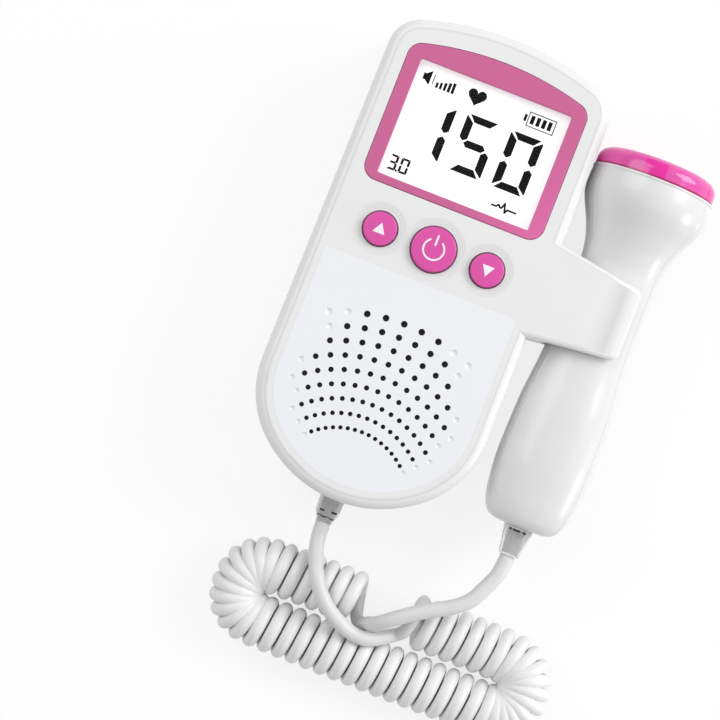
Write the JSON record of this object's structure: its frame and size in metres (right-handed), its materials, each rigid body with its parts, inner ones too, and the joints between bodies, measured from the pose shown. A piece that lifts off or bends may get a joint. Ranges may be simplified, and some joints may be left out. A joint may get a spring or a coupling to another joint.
{
  "type": "fetal doppler monitor",
  "caption": "Hand-held fetal doppler with an upright display, three buttons, a fan grille and a waisted probe clipped in a side holder on a coiled cord.",
  "frame": {"origin": "on the plane of the back, below the middle of the monitor and probe together", "axes": "+X across the monitor towards the probe, +Y towards the display end, +Z out of the face"},
  "size_m": [0.1133, 0.1893, 0.0362],
  "materials": {
    "white_casing": "glossy moulded ABS",
    "white_panel": "satin moulded ABS",
    "pink_bezel": "glossy moulded plastic",
    "clear_window": "clear acrylic",
    "lcd_white": "liquid crystal glass, lit white",
    "milky_plastic": "milky light guide",
    "black_plastic": "moulded plastic",
    "grey_rubber": "striped conductive rubber",
    "green_board": "solder-masked board",
    "pink_button": "satin moulded plastic with white printed symbols",
    "steel": "pressed steel",
    "black_cone": "coated paper",
    "black_foam": "foam",
    "cell_jacket": "printed jacket, plain",
    "nickel": "nickel plated",
    "gilt": "gold flashed",
    "probe_white": "glossy moulded ABS",
    "pink_cap": "glossy translucent plastic",
    "silvered_crystal": "silver electrode on ceramic",
    "clear_plug": "clear polycarbonate",
    "grey_cord": "satin PVC sheath"
  },
  "bodies": {
    "monitor": {"front_cover": "white_casing", "rear_cover": "white_casing", "speaker_panel": "white_panel", "display_bezel": "pink_bezel", "display_window": "clear_window", "lcd_glass": "lcd_white", "lcd_backlight": "milky_plastic", "lcd_frame": "black_plastic", "contact_strip": "grey_rubber", "main_board": "green_board", "board_chips": "black_plastic", "tact_switches": "black_plastic", "speaker_frame": "steel", "speaker_cone": "black_cone", "speaker_magnet": "steel", "speaker_gasket": "black_foam", "battery_cell_left": "cell_jacket", "battery_cell_right": "cell_jacket", "battery_contacts": "nickel", "contact_springs": "nickel", "housing_screws": "nickel", "main_socket": "black_plastic", "main_socket_contacts": "gilt", "headphone_jack": "black_plastic", "main_plug": "clear_plug", "main_plug_contacts": "gilt", "main_lead": "grey_cord", "curly_cord": "grey_cord", "probe_lead": "grey_cord"},
    "up_key": {"up_button": "pink_button", "up_switch_stem": "white_panel"},
    "power_key": {"power_button": "pink_button", "power_switch_stem": "white_panel"},
    "down_key": {"down_button": "pink_button", "down_switch_stem": "white_panel"},
    "door": {"battery_door": "white_casing"},
    "probe": {"probe_front_shell": "probe_white", "probe_rear_shell": "probe_white", "probe_cap": "pink_cap", "transmit_crystal": "silvered_crystal", "receive_crystal": "silvered_crystal", "crystal_backing": "black_plastic", "probe_board": "green_board", "probe_chips": "black_plastic", "probe_socket": "black_plastic", "probe_socket_contacts": "gilt", "probe_screws": "nickel", "probe_plug": "clear_plug", "probe_plug_contacts": "gilt"}
  },
  "joints": [
    {"name": "up_press", "type": "slide", "parent": "monitor", "child": "up_key", "axis": [0, 0, -1], "range_m": [0, 0.0008], "stiffness_N_per_m": 1500, "springref_m": -0.0003},
    {"name": "power_press", "type": "slide", "parent": "monitor", "child": "power_key", "axis": [0, 0, -1], "range_m": [0, 0.0008], "stiffness_N_per_m": 1500, "springref_m": -0.0003},
    {"name": "down_press", "type": "slide", "parent": "monitor", "child": "down_key", "axis": [0, 0, -1], "range_m": [0, 0.0008], "stiffness_N_per_m": 1500, "springref_m": -0.0003},
    {"name": "battery_door_slide", "type": "slide", "parent": "monitor", "child": "door", "axis": [0, -1, 0], "range_m": [0, 0.007]},
    {"name": "probe_release", "type": "slide", "parent": "monitor", "child": "probe", "axis": [1, 0, 0], "range_m": [0, 0.025]}
  ]
}
